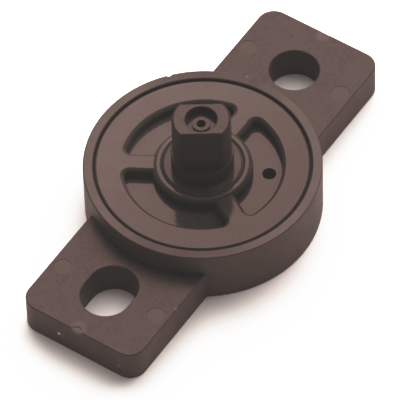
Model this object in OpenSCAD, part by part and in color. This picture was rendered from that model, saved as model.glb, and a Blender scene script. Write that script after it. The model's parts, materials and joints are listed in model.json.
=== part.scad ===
// Rotary damper: a two-lug moulded housing with a welded cap, a sealed rotor and a double-D shaft.
// Millimetres, +Z up along the shaft. The origin is the middle of the underside.

/* [Housing body] */
// Outside diameter of the round body
body_d = 20.2; // [19:0.1:22]
// Height of the body, from its underside to its rim
body_h = 5.3; // [5:0.1:8]
// Thickness of the chamber floor
floor_t = 1.1; // [0.8:0.1:1.3]
// Wall of the rim around the cap
rim_wall = 0.85; // [0.6:0.05:1.1]
// Width of the ledge that carries the cap
ledge_w = 0.9; // [0.6:0.05:1.4]
// Rounding of the rim's outer edge
rim_edge_r = 0.1; // [0.05:0.05:0.5]
// Rounding of the rim's inner edge
rim_inner_r = 0.12; // [0.06:0.02:0.2]

/* [Fixing lugs] */
// Length over both lugs
lug_span = 38; // [36:0.2:46]
// Width of the lugs
lug_w = 11.6; // [11.1:0.1:15]
// Thickness of the lugs
lug_t = 3.2; // [2.5:0.1:4.5]
// Radius of the lugs' corners
lug_corner_r = 1.5; // [0.5:0.1:2.5]
// Rounding of the lugs' upper and lower edges
lug_edge_r = 0.1; // [0.05:0.05:0.2]

/* [Fixing holes] */
// Distance between the centres of the two fixing holes
hole_pitch = 28.2; // [27:0.2:31]
// Diameter of the round fixing hole
hole_d = 4.3; // [3:0.1:5]
// Width of the slotted fixing hole
slot_w = 4.3; // [3:0.1:5]
// Length of the slotted fixing hole, over its round ends
slot_len = 5.3; // [5.1:0.1:6.5]
// Rounding of the edges of both holes
hole_edge_r = 0.15; // [0.1:0.05:0.4]

/* [Marks] */
// Diameter of the ejector-pin marks on the lugs
ejector_d = 1.6; // [1:0.1:2]
// Distance of an ejector-pin mark from the lugs' centre line
ejector_y = 4.7; // [4.2:0.1:4.7]
// Depth of an ejector-pin mark
ejector_depth = 0.03; // [0.02:0.01:0.2]
// Diameter of the half-round gate mark at the end of each lug
gate_d = 1; // [0.6:0.1:1.6]
// Depth of a gate mark
gate_depth = 0.1; // [0.04:0.02:0.3]
// Diameter of the nick in the rim's outer edge
nick_d = 0.5; // [0.2:0.1:0.8]
// Direction of the nick, from +X
nick_angle = 50; // [-180:1:180]

/* [Cap] */
// Depth of the cap's face below the rim
cap_drop = 0.1; // [0:0.05:0.4]
// Radial play between the cap and the rim
cap_fit = 0.05; // [0.02:0.01:0.1]
// Width of the open weld seam around the cap
seam_w = 0.16; // [0.12:0.02:0.2]
// Depth of the weld seam
seam_depth = 0.4; // [0.4:0.1:1]
// Diameter over the three recesses
recess_d = 13.4; // [12.5:0.1:15]
// Depth of the recesses
recess_depth = 1; // [0.6:0.1:1.1]
// Rounding of the recesses' upper edges
recess_edge_r = 0.45; // [0.1:0.05:0.45]
// Rounding of the cap's outer edge
cap_edge_r = 0.2; // [0.06:0.02:0.2]
// Corner radius of a recess at the outer ring
recess_outer_r = 0.5; // [0.5:0.05:0.8]
// Corner radius of a recess at the hub
recess_inner_r = 0.25; // [0.1:0.05:0.5]
// Width of the ribs between the recesses
rib_w = 1.9; // [1.4:0.1:2.2]
// Diameter of the hub in the middle of the cap
hub_d = 8.5; // [8.3:0.1:9]
// Height of the hub above the ribs
hub_rise = 0.15; // [0.1:0.05:0.4]
// Rounding of the hub's upper edge
hub_edge_r = 0.45; // [0.2:0.05:0.45]
// Diameter of the vent hole in the floor of one recess
vent_d = 1.2; // [0.6:0.1:1.6]
// Distance of the vent hole from the shaft's axis
vent_reach = 5.6; // [5.3:0.1:5.8]
// Depth of the vent hole
vent_depth = 1; // [0.3:0.1:1.2]

/* [Rotor] */
// Thickness of the resistance disc
disc_t = 1; // [0.8:0.1:1.2]
// Fluid gap above and below the resistance disc
disc_gap = 0.2; // [0.1:0.05:0.25]
// Fluid gap around the resistance disc
disc_side_gap = 0.4; // [0.2:0.1:0.8]
// Diameter of the journal that runs in the cap
journal_d = 6.8; // [6:0.1:6.9]
// Radial running play of the journal in the cap
journal_play = 0.06; // [0.03:0.01:0.1]
// Chamfer at the top of the journal and of its bore
journal_chamfer = 0.15; // [0.05:0.05:0.15]
// Height of the journal's top above the rim
journal_rise = 0.1; // [0:0.05:0.3]
// Diameter of the pivot in the middle of the chamber floor
pivot_d = 2.4; // [1.6:0.1:3]
// Height of the pivot above the floor
pivot_h = 1.8; // [1:0.1:3]
// Radial running play of the rotor on the pivot
pivot_play = 0.06; // [0.03:0.01:0.1]

/* [Shaft] */
// Diameter of the round foot of the shaft
foot_d = 5.3; // [5.1:0.1:5.8]
// Height of the round foot above the journal
foot_h = 1.5; // [0.8:0.1:3]
// Rounding of the foot's upper edge
foot_edge_r = 0.1; // [0.05:0.05:0.3]
// Diameter of the double-D shaft
shaft_d = 5; // [4.2:0.1:5.2]
// Distance between the two flats
flats_w = 3.5; // [3.4:0.1:4]
// Height of the shaft's end above the rim
shaft_len = 5.9; // [4:0.1:12]
// Rounding of the edges at the shaft's end
shaft_edge_r = 0.25; // [0.05:0.05:0.3]
// Direction that the flats face at rest, from +X
flats_angle = 34; // [-180:1:180]

/* [Shaft end] */
// Diameter of the recess in the shaft's end
end_recess_d = 2.6; // [2.2:0.1:2.6]
// Depth of the recess in the shaft's end
end_recess_depth = 0.8; // [0.7:0.1:1.4]
// Rounding of that recess's upper edge
end_recess_edge_r = 0.15; // [0.05:0.05:0.2]
// Diameter of the nub in that recess
nub_d = 1.5; // [1.2:0.1:1.9]
// Height of the nub
nub_h = 0.2; // [0.1:0.1:0.6]
// Diameter of the hole in the nub
nub_hole_d = 0.8; // [0.4:0.1:1]
// Depth of that hole
nub_hole_depth = 0.8; // [0.3:0.1:2]

/* [Seal] */
// Thickness of the seal ring's section
seal_section = 1; // [0.8:0.05:1.1]
// How much the seal ring is squeezed across its section
seal_squeeze = 0.12; // [0.05:0.01:0.2]
// Play between the seal ring and the journal
seal_play = 0.02; // [0.01:0.01:0.05]
// Play of the seal ring along the shaft in its groove
seal_side_play = 0.1; // [0.05:0.05:0.2]

/* [Hidden] */
$fn = 96;
rib_count = 3;
// Angle at which a rounded edge meets the two faces beside it
edge_break = 14;
// How far a cut reaches past the faces that it opens
over = 0.5;

rim_r = body_d / 2 - rim_wall;
chamber_r = rim_r - ledge_w;
disc_z = floor_t + disc_gap;
cap_z = disc_z + disc_t + disc_gap;
cap_top = body_h - cap_drop;
hub_top = cap_top + hub_rise;
journal_r = journal_d / 2;
bore_r = journal_r + journal_play;
seal_in_r = journal_r + seal_play;
groove_r = seal_in_r + seal_section - seal_squeeze;
groove_h = seal_section + 2 * seal_side_play;
journal_top = body_h + journal_rise;
shaft_top = body_h + shaft_len;
rib_step = 360 / rib_count;

// Section of a bar, centred on the Y axis, with all four edges rounded
module bar_section(width, height, edge_r) {
    translate([-width / 2, edge_r]) square([width, height - 2 * edge_r]);
    translate([-width / 2 + edge_r, 0]) square([width - 2 * edge_r, height]);
    for (side = [-1, 1], level = [edge_r, height - edge_r])
        translate([side * (width / 2 - edge_r), level]) circle(edge_r);
}

// Half section of a turned disc, with its upper and lower outer edges rounded
module disc_section(radius, height, top_r, bottom_r) {
    translate([0, bottom_r]) square([radius, height - top_r - bottom_r]);
    square([radius - bottom_r, height / 2]);
    translate([0, height / 2]) square([radius - top_r, height / 2]);
    translate([radius - top_r, height - top_r]) circle(top_r);
    translate([radius - bottom_r, bottom_r]) circle(bottom_r);
}

// Section of the cut that rounds an edge: the wall is the Y axis, the face is the X axis, and the piece lies
// at +X and -Y. The circle reaches a little past both, so that it meets them at a small angle.
module edge_section(edge_r) {
    inset = edge_r * cos(edge_break);
    difference() {
        translate([-edge_r, -inset]) square([edge_r + inset, inset + over]);
        translate([inset, -inset]) circle(edge_r);
    }
}

// Cut that rounds the upper edge of a round hole, over part of a turn
module hole_edge_cut(radius, edge_r, turn = 360) {
    rotate_extrude(angle = turn) translate([radius, 0]) edge_section(edge_r);
}

// Cut that rounds a straight upper edge that runs along +X, with the opening at +Y
module straight_edge_cut(length, edge_r) {
    rotate([90, 0, 90]) linear_extrude(height = length) mirror([1, 0]) edge_section(edge_r);
}

// Flat plate with rounded corners and rounded edges, from which the two lugs stand out
module lug_plate() {
    corner_x = lug_span / 2 - lug_corner_r;
    corner_y = lug_w / 2 - lug_corner_r;
    rotate([90, 0, 90])
        linear_extrude(height = 2 * corner_x, center = true) bar_section(lug_w, lug_t, lug_edge_r);
    rotate([90, 0, 0])
        linear_extrude(height = 2 * corner_y, center = true) bar_section(lug_span, lug_t, lug_edge_r);
    for (quarter = [0:3]) {
        along = (quarter == 0 || quarter == 3) ? 1 : -1;
        across = quarter < 2 ? 1 : -1;
        translate([along * corner_x, across * corner_y, 0]) rotate([0, 0, 90 * quarter])
            rotate_extrude(angle = 90) disc_section(lug_corner_r, lug_t, lug_edge_r, lug_edge_r);
    }
}

// Cut that rounds the upper edge of the slotted hole
module slot_edge_cut(reach) {
    for (side = [0, 1]) rotate([0, 0, 180 * side]) {
        translate([reach, 0, 0]) rotate([0, 0, -90]) hole_edge_cut(slot_w / 2, hole_edge_r, 180);
        translate([-reach, -slot_w / 2, 0]) straight_edge_cut(2 * reach, hole_edge_r);
    }
}

// Slotted hole through the lug
module slot_cut() {
    reach = (slot_len - slot_w) / 2;
    for (side = [-1, 1]) translate([side * reach, 0, -over]) cylinder(d = slot_w, h = lug_t + 2 * over);
    translate([-reach, -slot_w / 2, -over]) cube([2 * reach, slot_w, lug_t + 2 * over]);
    translate([0, 0, lug_t]) slot_edge_cut(reach);
    mirror([0, 0, 1]) slot_edge_cut(reach);
}

// Round hole through the lug
module round_hole_cut() {
    translate([0, 0, -over]) cylinder(d = hole_d, h = lug_t + 2 * over);
    translate([0, 0, lug_t]) hole_edge_cut(hole_d / 2, hole_edge_r);
    mirror([0, 0, 1]) hole_edge_cut(hole_d / 2, hole_edge_r);
}

// Shallow round mark with a sloping side, sunk into the face above it
module dish_cut(diameter, depth) {
    translate([0, 0, -depth])
        cylinder(d1 = diameter - 2 * depth, d2 = diameter + 2 * over, h = depth + over);
}

// Marks that the ejector pins and the gates leave on the lugs
module moulding_marks() {
    for (end = [-1, 1]) {
        for (side = [-1, 1])
            translate([end * hole_pitch / 2, side * ejector_y, lug_t]) dish_cut(ejector_d, ejector_depth);
        translate([end * lug_span / 2, 0, lug_t]) dish_cut(gate_d, gate_depth);
    }
}

module housing() {
    color([0.42, 0.35, 0.33]) {
        difference() {
            union() {
                lug_plate();
                rotate_extrude() disc_section(body_d / 2, body_h, rim_edge_r, lug_edge_r);
            }
            translate([0, 0, floor_t]) cylinder(r = chamber_r, h = body_h);
            translate([0, 0, cap_z]) cylinder(r = rim_r, h = body_h);
            translate([0, 0, body_h]) hole_edge_cut(rim_r, rim_inner_r);
            translate([hole_pitch / 2, 0, 0]) round_hole_cut();
            translate([-hole_pitch / 2, 0, 0]) slot_cut();
            moulding_marks();
            rotate([0, 0, nick_angle]) translate([body_d / 2, 0, body_h]) sphere(d = nick_d);
        }
        translate([0, 0, floor_t / 2]) cylinder(d = pivot_d, h = floor_t / 2 + pivot_h);
    }
}

// Filling that rounds one corner of a recess, beside a rib that lies along +X
module corner_web(centre, beyond, radius) {
    difference() {
        polygon(concat([centre, [centre.x, 0]], beyond));
        translate(centre) circle(radius);
    }
}

// The three recesses between the ribs, cut down from the cap's face at z = 0, with rounded upper edges.
// The hub is added later, so the recesses run on to the middle.
module recess_cut() {
    ring_r = recess_d / 2;
    outer_gap = recess_outer_r * cos(edge_break);
    inner_gap = recess_inner_r * cos(edge_break);
    outer_y = rib_w / 2 + outer_gap;
    inner_y = rib_w / 2 + inner_gap;
    outer = [sqrt(pow(ring_r - outer_gap, 2) - outer_y * outer_y), outer_y];
    inner = [sqrt(pow(hub_d / 2 + inner_gap, 2) - inner_y * inner_y), inner_y];
    corner_turn = atan2(outer.y, outer.x);
    start_x = hub_d / 4;
    translate([0, 0, -recess_depth]) linear_extrude(height = recess_depth + over) {
        difference() {
            circle(ring_r);
            for (rib = [0:rib_count - 1]) rotate(rib * rib_step) {
                translate([0, -rib_w / 2]) square([ring_r + over, rib_w]);
                for (side = [0, 1]) mirror([0, side]) {
                    corner_web(outer, [[2 * ring_r, 0], 2 * outer], recess_outer_r);
                    corner_web(inner, [[0, 0]], recess_inner_r);
                }
            }
        }
        for (rib = [0:rib_count - 1], side = [0, 1]) rotate(rib * rib_step) mirror([0, side]) {
            translate(outer) circle(recess_outer_r);
            translate(inner) circle(recess_inner_r);
        }
    }
    for (rib = [0:rib_count - 1]) rotate([0, 0, rib * rib_step]) {
        for (side = [0, 1]) mirror([0, side, 0]) {
            translate([start_x, rib_w / 2, 0]) straight_edge_cut(outer.x - start_x, recess_edge_r);
            translate([outer.x, outer.y, 0]) hole_edge_cut(recess_outer_r, recess_edge_r);
        }
        rotate([0, 0, corner_turn]) hole_edge_cut(ring_r, recess_edge_r, rib_step - 2 * corner_turn);
    }
}

// Disc of the cap, with the step that leaves the weld seam open and a rounded edge beside it
module cap_disc() {
    seam_r = rim_r - seam_w;
    seam_z = cap_top - seam_depth;
    slope = seam_w - cap_fit;
    difference() {
        union() {
            translate([0, 0, cap_z]) cylinder(r = rim_r - cap_fit, h = seam_z - cap_z);
            translate([0, 0, seam_z]) cylinder(r1 = rim_r - cap_fit, r2 = seam_r, h = slope);
            translate([0, 0, seam_z]) cylinder(r = seam_r, h = seam_depth);
        }
        translate([0, 0, cap_top]) rotate_extrude()
            translate([seam_r, 0]) mirror([1, 0]) edge_section(cap_edge_r);
    }
}

// Hub with a rounded upper edge, standing in the cap's floor
module hub() {
    foot_z = cap_top - recess_depth - over;
    translate([0, 0, foot_z]) rotate_extrude()
        disc_section(hub_d / 2, hub_top - foot_z, hub_edge_r, hub_edge_r);
}

module cap() {
    color([0.48, 0.42, 0.39]) difference() {
        union() {
            difference() {
                cap_disc();
                translate([0, 0, cap_top]) recess_cut();
            }
            hub();
        }
        translate([0, 0, cap_z - over]) cylinder(r = bore_r, h = hub_top - cap_z + 2 * over);
        translate([0, 0, hub_top - journal_chamfer])
            cylinder(r1 = bore_r, r2 = bore_r + journal_chamfer + over, h = journal_chamfer + over);
        translate([0, 0, cap_z - over]) cylinder(r = groove_r, h = groove_h + over);
        rotate([0, 0, -rib_step / 2]) translate([vent_reach, 0, cap_top - recess_depth - vent_depth])
            cylinder(d = vent_d, h = vent_depth + over);
    }
}

// Double-D bar with rounded edges, standing on z = 0
module double_d_bar(length) {
    intersection() {
        rotate_extrude() disc_section(shaft_d / 2, length, shaft_edge_r, shaft_edge_r);
        rotate([90, 0, 0])
            linear_extrude(height = 2 * shaft_d, center = true) bar_section(flats_w, length, shaft_edge_r);
    }
}

// Recess in the end of the shaft, with its nub left standing
module shaft_end_cut() {
    floor_z = shaft_top - end_recess_depth;
    difference() {
        translate([0, 0, floor_z]) cylinder(d = end_recess_d, h = end_recess_depth + over);
        translate([0, 0, floor_z]) cylinder(d = nub_d, h = nub_h);
    }
    translate([0, 0, floor_z + nub_h - nub_hole_depth]) cylinder(d = nub_hole_d, h = nub_hole_depth + over);
    translate([0, 0, shaft_top]) hole_edge_cut(end_recess_d / 2, end_recess_edge_r);
}

module rotor() {
    collar_z = journal_top - journal_chamfer;
    pivot_bore_h = floor_t + pivot_h + pivot_play;
    color([0.45, 0.39, 0.37]) rotate([0, 0, flats_angle]) difference() {
        union() {
            translate([0, 0, disc_z]) cylinder(r = chamber_r - disc_side_gap, h = disc_t);
            translate([0, 0, disc_z]) cylinder(r = journal_r, h = collar_z - disc_z);
            translate([0, 0, collar_z])
                cylinder(r1 = journal_r, r2 = journal_r - journal_chamfer, h = journal_chamfer);
            translate([0, 0, cap_z]) rotate_extrude()
                disc_section(foot_d / 2, journal_top + foot_h - cap_z, foot_edge_r, foot_edge_r);
            translate([0, 0, journal_top]) double_d_bar(shaft_top - journal_top);
        }
        shaft_end_cut();
        cylinder(r = pivot_d / 2 + pivot_play, h = pivot_bore_h);
    }
}

module shaft_seal() {
    width = groove_r - seal_in_r;
    color([0.08, 0.08, 0.08]) translate([0, 0, cap_z + groove_h / 2]) rotate_extrude()
        translate([seal_in_r + width / 2, 0]) intersection() {
            circle(d = seal_section);
            square([width, seal_section], center = true);
        }
}

housing();
cap();
rotor();
shaft_seal();
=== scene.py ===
# Looks of the rotary damper: moulded plastic finishes, the studio and the camera of the photograph.
# Metres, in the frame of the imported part: +Z up along the shaft, +X along the lugs to the round hole.
import json
import math

import bpy
from mathutils import Matrix, Vector


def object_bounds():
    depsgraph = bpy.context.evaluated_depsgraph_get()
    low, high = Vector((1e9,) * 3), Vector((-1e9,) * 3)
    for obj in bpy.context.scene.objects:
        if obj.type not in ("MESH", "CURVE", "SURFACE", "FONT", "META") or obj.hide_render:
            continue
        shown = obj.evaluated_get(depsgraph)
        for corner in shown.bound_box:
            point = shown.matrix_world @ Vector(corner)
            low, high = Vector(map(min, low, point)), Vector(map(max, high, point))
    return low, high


MM = 0.001
UP = Vector((0, 0, 1))

# Camera of the photograph, fitted to the outline of the part
CAMERA_AZIMUTH = math.radians(-144.76)
CAMERA_ELEVATION = math.radians(51.80)
CAMERA_ROLL = math.radians(-2.08)
CAMERA_DISTANCE = 462.9 * MM
CAMERA_TARGET = Vector((-1.37, -0.56, 2.15)) * MM
CAMERA_LENS_MM = 493.7
CAMERA_SENSOR_MM = 36.0

# Studio: one large soft light behind the part, and a weak even light from all around
SOFTBOX_AZIMUTH = math.radians(18)
SOFTBOX_ELEVATION = math.radians(42.5)
SOFTBOX_DISTANCE = 0.65
SOFTBOX_SIZE = 1.25
SOFTBOX_WATTS = 12.0
SOFTBOX_COLOUR = (1.0, 0.99, 0.98)
SKY_STRENGTH = 0.28
SKY_COLOUR = (1.0, 0.99, 0.98)

# Floor of smooth pale paper
FLOOR_SIZE = 1.2
FLOOR_COLOUR = (0.94, 0.94, 0.94)
FLOOR_SHADE_TONE = 0.985
FLOOR_CLOUD_SIZE = 6.0 * MM
FLOOR_ROUGHNESS = 0.8
FLOOR_SPECULAR = 0.2

# Film of the photograph: lifted blacks, warm middle tones and whites that burn out early
LENS_VEIL = 0.021
FILM_LIGHT = [(0.20, 0.20), (0.32, 0.31), (0.46, 0.51), (0.60, 0.78), (0.78, 0.97)]
FILM_RED = [(0.04, 0.041), (0.10, 0.115), (0.35, 0.385), (0.70, 0.72)]
FILM_BLUE = [(0.10, 0.096), (0.35, 0.335), (0.70, 0.69)]

# In the finishes below a TONE is a factor on a colour, a STRENGTH is the share of it that shows, and a
# pair of values is the beginning and the end of a gradual change.

# Level faces and roundings, told from walls by the upward part of the surface's normal
LEVEL_RANGE = (0.965, 0.999)
FLATTEST_RANGE = (0.985, 0.9998)
ROUNDING_RANGE = (0.08, 0.3)

# Pigment of the moulded plastic, with its grain and clouds, painted warm light on its walls and painted
# shade on its roundings
PLASTIC_COLOUR = (0.026, 0.021, 0.0195)
# warm tint of the walls: painted warm light
PAINTED_WALL_LIGHT_TINT = (1.08, 0.86, 0.80)
LEVEL_SPREAD = 0.5
SLOPE_SPREAD = 0.18
# darker roundings: painted shade
PAINTED_ROUNDING_SHADE_TONE = 0.9
GRAIN_SIZE = 0.22 * MM
GRAIN_HARDNESS = 0.65
GRAIN_RANGE = (0.3, 0.7)
GRAIN_HEIGHT = 0.0004 * MM
CLOUD_SIZE = 1.6 * MM
CLOUD_RANGE = (0.35, 0.65)
CLOUD_STRENGTH = 0.75

# Gloss of the moulded plastic. The roughness of a rounding is halfway between its wall's and MATT
PLASTIC_SPECULAR = 0.24
CAP_SPECULAR = 0.30
SPECULAR_TINT = (1.0, 0.66, 0.60)
MATT = 0.95
PATCH_SIZE = 1.4 * MM
PATCH_RANGE = (0.25, 0.75)
PATCH_SPREAD = 0.07

# Cap: the hub keeps its gloss up to its edge; painted light makes one side of the cap paler and painted
# shade makes the other side darker
HUB_EDGE = (4.6 * MM, 5.0 * MM)
CAP_PAINTED_LIGHT_AZIMUTH = math.radians(80)
CAP_LIGHT_AND_SHADE_REACH = 9.0 * MM
CAP_PAINTED_LIGHT_TONE = 1.9
CAP_PAINTED_LIGHT_STRENGTH = 0.5
CAP_PAINTED_SHADE_TONE = 0.35
CAP_PAINTED_SHADE_STRENGTH = 0.7

# Top of the rim: painted highlights, broken up by clouds, towards both ends of an axis
RIM_HEIGHT = (4.5 * MM, 4.8 * MM)
RIM_HIGHLIGHT_AZIMUTH = math.radians(114)
RIM_HIGHLIGHT_REACH = (2.5 * MM, 7.5 * MM)
RIM_HIGHLIGHT_TONE = 3.2
RIM_HIGHLIGHT_CLOUD_RANGE = (0.3, 0.7)
RIM_HIGHLIGHT_STRENGTH = (0.7, 1.0)

# Prints of the mould's ejector pins, on both sides of each fixing hole
EJECTOR_OFFSET = 4.7 * MM
EJECTOR_RADIUS = 0.8 * MM
EJECTOR_BLUR = 0.12 * MM
EJECTOR_TONE = 2.3
EJECTOR_STRENGTH = 0.5
EJECTOR_POLISH = 0.05

# Scars of the gates, in the middle of the lugs' ends
GATE_INSET = 0.4 * MM
GATE_RADIUS = 0.6 * MM
GATE_BLUR = 0.2 * MM
GATE_TONE = 3.2
GATE_STRENGTH = 0.6
GATE_WALL_TONE = 5.5

# Dusty depths of the vent hole and of the hole in the shaft's end
VENT_REACH = 5.6 * MM
VENT_AZIMUTH = math.radians(-60)
VENT_HEIGHT = 3.6 * MM
SHAFT_HOLE_DEPTH = 1.4 * MM
HOLE_DUST_RADIUS = 0.75 * MM
HOLE_DUST_BLUR = 0.03 * MM
HOLE_DUST_COLOUR = (0.05, 0.043, 0.04)

# Dark brown walls of the weld seam and of the gap round the journal
SEAM_RADII = (9.17 * MM, 3.43 * MM)
SEAM_HALF_WIDTH = (0.08 * MM, 0.14 * MM)
SEAM_COLOUR = (0.05, 0.038, 0.034)

# Specks of dust on the housing
SPECK_RADIUS = 0.12 * MM
SPECK_BLUR = 0.06 * MM
SPECK_COLOUR = (0.70, 0.64, 0.60)
FAINT_SPECK_STRENGTH = 0.1
BRIGHT_SPECKS = [Vector((-19.0, 1.8, 1.5)) * MM]
FAINT_SPECKS = [
    Vector((-12.7, -5.7, 3.2)) * MM,
    Vector((-19.0, -4.2, 1.4)) * MM,
    Vector((11.3, 3.0, 3.2)) * MM,
]

# Rubber of the seal, with its bloom
RUBBER_COLOUR = (0.012, 0.012, 0.012)
RUBBER_ROUGHNESS = (0.55, 0.75)
RUBBER_GRAIN_SIZE = 0.2 * MM
RUBBER_GRAIN_HEIGHT = 0.008 * MM
BLOOM_SIZE = 0.8 * MM
BLOOM_RANGE = (0.35, 0.75)
BLOOM_TONE = 1.8

# Steps along X, Y and Z by which a noise is moved, so that no two in a material share their pattern
NOISE_SHIFT = Vector((1.0, 0.7, 1.3)) * MM

# Vector operations whose result is a number
NUMBER_OPERATIONS = ("DISTANCE", "DOT_PRODUCT", "LENGTH")


def scaled(colour, factor):
    """A colour made paler or darker."""
    return tuple(c * factor for c in colour)


def direction(azimuth, elevation=0.0):
    """Direction that is turned by the azimuth from +X towards +Y, and then raised by the elevation."""
    level = math.cos(elevation)
    return Vector((level * math.cos(azimuth), level * math.sin(azimuth), math.sin(elevation)))


class Graph:
    """Builds one material's node tree. Its places and lengths are metres of the part's frame."""

    def __init__(self, name):
        self.material = bpy.data.materials.new(name)
        self.material.use_nodes = True
        self.nodes = self.material.node_tree.nodes
        self.links = self.material.node_tree.links
        self.shader = self.nodes["Principled BSDF"]
        coordinates = self.nodes.new("ShaderNodeTexCoord")
        self.place = coordinates.outputs["Object"]
        self.facing = coordinates.outputs["Normal"]

    def feed(self, socket, value):
        """Links a node's output to a socket, or sets the socket to a plain value."""
        if isinstance(value, bpy.types.NodeSocket):
            self.links.new(value, socket)
        else:
            socket.default_value = value

    def shade(self, values):
        """Feeds the shader's sockets, by their names."""
        for name, value in values.items():
            self.feed(self.shader.inputs[name], value)

    def vector(self, operation, first, second=None):
        """One node of vector arithmetic."""
        node = self.nodes.new("ShaderNodeVectorMath")
        node.operation = operation
        self.feed(node.inputs[0], first)
        if second is not None:
            self.feed(node.inputs[1], second)
        return node.outputs["Value" if operation in NUMBER_OPERATIONS else "Vector"]

    def math(self, operation, first, second=0.0):
        """One node of arithmetic."""
        node = self.nodes.new("ShaderNodeMath")
        node.operation = operation
        self.feed(node.inputs[0], first)
        self.feed(node.inputs[1], second)
        return node.outputs[0]

    def product(self, *values):
        """Two or more values multiplied with each other."""
        total = values[0]
        for value in values[1:]:
            total = self.math("MULTIPLY", total, value)
        return total

    def mix(self, factor, first, second):
        """Mixes two colours, given as sockets or as linear RGB."""
        node = self.nodes.new("ShaderNodeMix")
        node.data_type = "RGBA"
        self.feed(node.inputs["Factor"], factor)
        for name, colour in (("A", first), ("B", second)):
            plain = not isinstance(colour, bpy.types.NodeSocket)
            self.feed(node.inputs[name], (*colour, 1) if plain else colour)
        return node.outputs["Result"]

    def ramp(self, value, given, wanted=(0.0, 1.0)):
        """Maps a value from one range onto another, smoothly and with clamped ends."""
        node = self.nodes.new("ShaderNodeMapRange")
        node.interpolation_type = "SMOOTHSTEP"
        self.feed(node.inputs["Value"], value)
        for name, limit in zip(("From Min", "From Max", "To Min", "To Max"), (*given, *wanted)):
            node.inputs[name].default_value = limit
        return node.outputs["Result"]

    def noise(self, size, shift, detail=3.0, hardness=0.55):
        """Noise from 0 to 1 whose blotches are about `size` across."""
        node = self.nodes.new("ShaderNodeTexNoise")
        self.feed(node.inputs["Vector"], self.vector("ADD", self.place, NOISE_SHIFT * shift))
        node.inputs["Scale"].default_value = 1 / size
        node.inputs["Detail"].default_value = detail
        node.inputs["Roughness"].default_value = hardness
        return node.outputs["Fac"]

    def radius(self):
        """Distance from the shaft's axis."""
        return self.vector("LENGTH", self.vector("MULTIPLY", self.place, (1, 1, 0)))

    def spots(self, points, radius, blur):
        """1 within a radius of any of the points, 0 elsewhere, with a blurred edge."""
        total = 0.0
        for point in points:
            reach = self.vector("DISTANCE", self.place, point)
            spot = self.ramp(reach, (radius - blur, radius + blur), (1.0, 0.0))
            total = self.math("MAXIMUM", spot, total)
        return total

    def bump(self, texture, height):
        """Normal of a surface that a texture raises by up to the height."""
        node = self.nodes.new("ShaderNodeBump")
        node.inputs["Distance"].default_value = height
        self.feed(node.inputs["Height"], texture)
        return node.outputs["Normal"]


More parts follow.
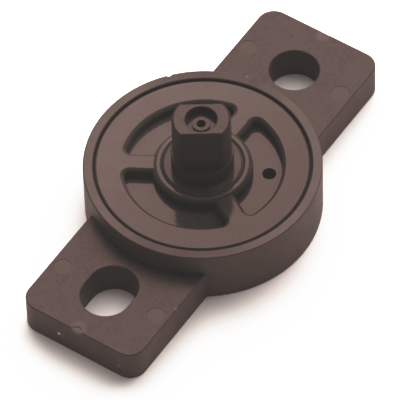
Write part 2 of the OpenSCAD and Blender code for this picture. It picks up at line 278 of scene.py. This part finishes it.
class Moulding(Graph):
    """Dark moulded plastic: grainy pigment, polished level faces, duller walls and dull roundings.

    tone makes the plastic paler or darker, and the wall tone changes all that isn't level once more: above
    1 it paints light onto the walls, below 1 it paints shade onto the walls and roundings.
    gloss and dull are the roughness of the level faces and of the walls.
    soft_edges takes the gloss from all but the flattest faces outside the hub.
    """

    def __init__(self, name, tone, wall_light_and_shade_tone, gloss, dull, soft_edges=False):
        super().__init__(name)
        self.colour = scaled(PLASTIC_COLOUR, tone)
        self.grain = self.noise(GRAIN_SIZE, shift=11, hardness=GRAIN_HARDNESS)
        self.clouds = self.noise(CLOUD_SIZE, shift=3)
        self.upward = self.vector("DOT_PRODUCT", self.facing, UP)
        self.level = self.level_faces(soft_edges)
        self.steep = self.math("SUBTRACT", 1.0, self.level)
        self.pigment = self.plain_pigment(wall_light_and_shade_tone)
        self.roughness = self.plain_roughness(gloss, dull)

    def level_faces(self, soft_edges):
        """1 on level faces, 0 on all others."""
        level = self.ramp(self.upward, LEVEL_RANGE)
        if not soft_edges:
            return level
        flattest = self.ramp(self.upward, FLATTEST_RANGE)
        on_hub = self.ramp(self.radius(), HUB_EDGE, (1.0, 0.0))
        return self.math("MINIMUM", level, self.math("MAXIMUM", flattest, on_hub))

    def plain_pigment(self, wall_light_and_shade_tone):
        """Colour of the plastic before any marks, with walls made warmer and paler (painted light) or
        darker (painted shade) by the wall tone.
        """
        # walls warmer, and paler or darker than the level faces: painted light and shade
        slope = tuple(c * wall_light_and_shade_tone * tint for c, tint in zip(self.colour, PAINTED_WALL_LIGHT_TINT))
        dark = self.mix(self.level, scaled(slope, 1 - SLOPE_SPREAD), scaled(self.colour, 1 - LEVEL_SPREAD))
        pale = self.mix(self.level, scaled(slope, 1 + SLOPE_SPREAD), scaled(self.colour, 1 + LEVEL_SPREAD))
        grainy = self.mix(self.ramp(self.grain, GRAIN_RANGE), dark, pale)
        cloudy = self.mix(self.ramp(self.clouds, CLOUD_RANGE, (0.0, CLOUD_STRENGTH)), grainy, pale)
        rounding = self.product(self.ramp(self.upward, ROUNDING_RANGE), self.steep)
        # roundings darker than the walls: painted shade
        return self.mix(rounding, cloudy, scaled(slope, PAINTED_ROUNDING_SHADE_TONE))

    def plain_roughness(self, gloss, dull):
        """Roughness of the plastic before any marks, a little uneven from patch to patch."""
        slope = self.ramp(self.upward, ROUNDING_RANGE, (dull, (dull + MATT) / 2))
        even = self.math("ADD", self.product(self.level, gloss), self.product(self.steep, slope))
        patches = self.noise(PATCH_SIZE, shift=31)
        return self.product(even, self.ramp(patches, PATCH_RANGE, (1 - PATCH_SPREAD, 1 + PATCH_SPREAD)))

    def tint(self, mask, colour):
        """Lays a colour over the pigment where the mask is 1."""
        self.pigment = self.mix(mask, self.pigment, colour)

    def paint_light_and_shade_sides(self):
        """Painted light: paler pigment on one side of the cap; painted shade: darker pigment on the other.
        """
        across = self.vector("DOT_PRODUCT", self.place, direction(CAP_PAINTED_LIGHT_AZIMUTH))
        # painted shade on one side of the cap, painted light on the other
        darker = self.mix(CAP_PAINTED_SHADE_STRENGTH, self.pigment, scaled(self.colour, CAP_PAINTED_SHADE_TONE))
        paler = self.mix(CAP_PAINTED_LIGHT_STRENGTH, self.pigment, scaled(self.colour, CAP_PAINTED_LIGHT_TONE))
        self.pigment = self.mix(self.ramp(across, (-CAP_LIGHT_AND_SHADE_REACH, CAP_LIGHT_AND_SHADE_REACH)), darker, paler)

    def paint_rim_highlights(self):
        """Painted highlights, broken up by clouds, on the top of the rim towards both ends of its axis."""
        height = self.vector("DOT_PRODUCT", self.place, UP)
        across = self.vector("DOT_PRODUCT", self.place, direction(RIM_HIGHLIGHT_AZIMUTH))
        on_rim = self.product(self.ramp(height, RIM_HEIGHT), self.level)
        aside = self.ramp(self.math("ABSOLUTE", across), RIM_HIGHLIGHT_REACH)
        highlight_clouds = self.ramp(self.clouds, RIM_HIGHLIGHT_CLOUD_RANGE, RIM_HIGHLIGHT_STRENGTH)
        # the paler pigment here is a painted highlight
        self.tint(self.product(on_rim, aside, highlight_clouds), scaled(self.colour, RIM_HIGHLIGHT_TONE))

    def ejector_prints(self, points):
        """Paler and smoother prints of the ejector pins."""
        prints = self.spots(points, EJECTOR_RADIUS, EJECTOR_BLUR)
        self.tint(self.product(prints, EJECTOR_STRENGTH), scaled(self.colour, EJECTOR_TONE))
        self.roughness = self.math("SUBTRACT", self.roughness, self.product(prints, EJECTOR_POLISH))

    def gate_scars(self, points):
        """Pale scars where the plastic was injected, palest on their walls."""
        scars = self.spots(points, GATE_RADIUS, GATE_BLUR)
        self.tint(self.product(scars, GATE_STRENGTH), scaled(self.colour, GATE_TONE))
        self.tint(self.product(scars, self.steep), scaled(self.colour, GATE_WALL_TONE))

    def depths(self, holes):
        """Dust in the small holes, and brown walls in the weld seam and in the gap round the journal."""
        self.tint(self.spots(holes, HOLE_DUST_RADIUS, HOLE_DUST_BLUR), HOLE_DUST_COLOUR)
        for seam in SEAM_RADII:
            off_seam = self.math("ABSOLUTE", self.math("SUBTRACT", self.radius(), seam))
            in_seam = self.ramp(off_seam, SEAM_HALF_WIDTH, (1.0, 0.0))
            self.tint(self.product(in_seam, self.steep), SEAM_COLOUR)

    def specks(self):
        """A few pale specks of dust."""
        faint = self.spots(FAINT_SPECKS, SPECK_RADIUS, SPECK_BLUR)
        bright = self.spots(BRIGHT_SPECKS, SPECK_RADIUS, SPECK_BLUR)
        self.tint(self.math("MAXIMUM", self.product(faint, FAINT_SPECK_STRENGTH), bright), SPECK_COLOUR)

    def finished(self, specular):
        """The material, with all that was laid on it."""
        self.shade({
            "Base Color": self.pigment,
            "Roughness": self.roughness,
            "Normal": self.bump(self.grain, GRAIN_HEIGHT),
            "Specular IOR Level": specular,
            "Specular Tint": (*SPECULAR_TINT, 1),
        })
        return self.material


def housing_plastic(small_holes, ejector_places, gate_places):
    """Satin plastic of the housing, with painted light on its walls, painted highlights on its rim, the
    marks of its mould and some dust.
    """
    # walls paler than the level faces: painted light
    plastic = Moulding("housing_plastic", tone=0.75, wall_light_and_shade_tone=2.1, gloss=0.34, dull=0.6)
    # painted highlights on the top of the rim
    plastic.paint_rim_highlights()
    plastic.ejector_prints(ejector_places)
    plastic.gate_scars(gate_places)
    plastic.depths(small_holes)
    plastic.specks()
    return plastic.finished(PLASTIC_SPECULAR)


def cap_plastic(small_holes):
    """Plastic of the cap, polished on its level faces and matt on its edges, with painted shade on its
    walls and edges and painted light and shade on its two sides.
    """
    # walls and roundings darker than the level faces: painted shade
    plastic = Moulding("cap_plastic", tone=1.3, wall_light_and_shade_tone=0.4, gloss=0.11, dull=0.95, soft_edges=True)
    # painted light on one side of the cap and painted shade on the other
    plastic.paint_light_and_shade_sides()
    plastic.depths(small_holes)
    return plastic.finished(CAP_SPECULAR)


def rotor_plastic(small_holes):
    """Plastic of the rotor, polished on its end and dull on its sides, with a little painted shade on its
    sides.
    """
    # walls a little darker than the level faces: painted shade
    plastic = Moulding("rotor_plastic", tone=0.9, wall_light_and_shade_tone=0.8, gloss=0.15, dull=0.8)
    plastic.depths(small_holes)
    return plastic.finished(PLASTIC_SPECULAR)


def seal_rubber():
    """Black nitrile rubber with a dull bloom."""
    graph = Graph("seal_rubber")
    bloom = graph.ramp(graph.noise(BLOOM_SIZE, shift=5, detail=4), BLOOM_RANGE)
    grain = graph.noise(RUBBER_GRAIN_SIZE, shift=9)
    graph.shade({
        "Base Color": graph.mix(bloom, RUBBER_COLOUR, scaled(RUBBER_COLOUR, BLOOM_TONE)),
        "Roughness": graph.ramp(bloom, (0.0, 1.0), RUBBER_ROUGHNESS),
        "Normal": graph.bump(grain, RUBBER_GRAIN_HEIGHT),
    })
    return graph.material


def floor_paper():
    """Pale paper with faint clouds."""
    graph = Graph("floor")
    clouds = graph.noise(FLOOR_CLOUD_SIZE, shift=2, detail=2)
    graph.shade({
        "Base Color": graph.mix(clouds, FLOOR_COLOUR, scaled(FLOOR_COLOUR, FLOOR_SHADE_TONE)),
        "Roughness": FLOOR_ROUGHNESS,
        "Specular IOR Level": FLOOR_SPECULAR,
    })
    return graph.material


def paint(node_name, material):
    """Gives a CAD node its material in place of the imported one."""
    node = frame["nodes"][node_name]
    node.data.materials.clear()
    node.data.materials.append(material)


def add_object(name, data):
    """New object in the scene."""
    thing = bpy.data.objects.new(name, data)
    bpy.context.scene.collection.objects.link(thing)
    return thing


def add_camera():
    """Camera that stands where the photograph was taken."""
    camera = bpy.data.cameras.new("camera")
    camera.lens = CAMERA_LENS_MM
    camera.sensor_width = CAMERA_SENSOR_MM
    back = direction(CAMERA_AZIMUTH, CAMERA_ELEVATION)
    level_right = UP.cross(back).normalized()
    right = Matrix.Rotation(CAMERA_ROLL, 3, back) @ level_right
    up = back.cross(right)
    turn = Matrix((right, up, back)).transposed().to_4x4()
    stand = add_object("camera", camera)
    stand.matrix_world = Matrix.Translation(CAMERA_TARGET + back * CAMERA_DISTANCE) @ turn
    bpy.context.scene.camera = stand


def add_softbox():
    """Large soft light behind the part."""
    light = bpy.data.lights.new("softbox", "AREA")
    light.shape = "DISK"
    light.size = SOFTBOX_SIZE
    light.energy = SOFTBOX_WATTS
    light.color = SOFTBOX_COLOUR
    towards = direction(SOFTBOX_AZIMUTH, SOFTBOX_ELEVATION)
    stand = add_object("softbox", light)
    stand.location = towards * SOFTBOX_DISTANCE
    stand.rotation_euler = towards.to_track_quat("Z", "Y").to_euler()


def add_sky():
    """Even light from all around."""
    world = bpy.data.worlds.new("studio")
    world.use_nodes = True
    background = world.node_tree.nodes["Background"]
    background.inputs["Color"].default_value = (*SKY_COLOUR, 1)
    background.inputs["Strength"].default_value = SKY_STRENGTH
    bpy.context.scene.world = world


def add_floor(height):
    """Plain pale floor that the part lies on."""
    half = FLOOR_SIZE / 2
    corners = [(x * half, y * half, height) for x, y in ((-1, -1), (1, -1), (1, 1), (-1, 1))]
    mesh = bpy.data.meshes.new("floor")
    mesh.from_pydata(corners, [], [(0, 1, 2, 3)])
    mesh.materials.append(floor_paper())
    floor = add_object("floor", mesh)


def load_film():
    """Tone curves of the photograph, set on the view of the scene."""
    view = bpy.context.scene.view_settings
    view.view_transform = "Standard"
    view.use_curve_mapping = True
    film = view.curve_mapping
    film.black_level = (-LENS_VEIL, -LENS_VEIL, -LENS_VEIL)
    red, _, blue, light = film.curves
    for curve, points in ((red, FILM_RED), (blue, FILM_BLUE), (light, FILM_LIGHT)):
        for given, shown in points:
            curve.points.new(given, shown)
        for point in curve.points:
            point.handle_type = "AUTO_CLAMPED"
    film.update()


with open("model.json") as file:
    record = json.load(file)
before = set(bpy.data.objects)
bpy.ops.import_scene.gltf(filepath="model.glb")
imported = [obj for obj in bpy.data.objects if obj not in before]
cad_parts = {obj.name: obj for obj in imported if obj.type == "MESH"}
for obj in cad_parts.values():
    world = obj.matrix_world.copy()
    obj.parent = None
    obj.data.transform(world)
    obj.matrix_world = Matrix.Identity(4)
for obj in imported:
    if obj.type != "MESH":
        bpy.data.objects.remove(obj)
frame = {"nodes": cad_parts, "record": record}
cad_low, cad_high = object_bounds()

# Studio
add_camera()
add_softbox()
add_sky()
add_floor(cad_low[2])
load_film()

# Places of the marks, from the fixing holes, the ends of the lugs and the end of the shaft
mounts = frame["record"]["mounts"]
fixing_holes = [Vector(mount["pos_m"]) for mount in mounts if mount["name"].endswith("_hole")]
lug_top = 2 * fixing_holes[0].z
ejector_places = [
    Vector((hole.x, side * EJECTOR_OFFSET, lug_top))
    for hole in fixing_holes
    for side in (-1, 1)
]
gate_places = [
    Vector((cad_low[0] + GATE_INSET, 0, lug_top)),
    Vector((cad_high[0] - GATE_INSET, 0, lug_top)),
]
small_holes = [
    direction(VENT_AZIMUTH) * VENT_REACH + UP * VENT_HEIGHT,
    UP * (cad_high[2] - SHAFT_HOLE_DEPTH),
]

# Finishes of the four nodes
paint("housing", housing_plastic(small_holes, ejector_places, gate_places))
paint("cap", cap_plastic(small_holes))
paint("rotor", rotor_plastic(small_holes))
paint("shaft_seal", seal_rubber())
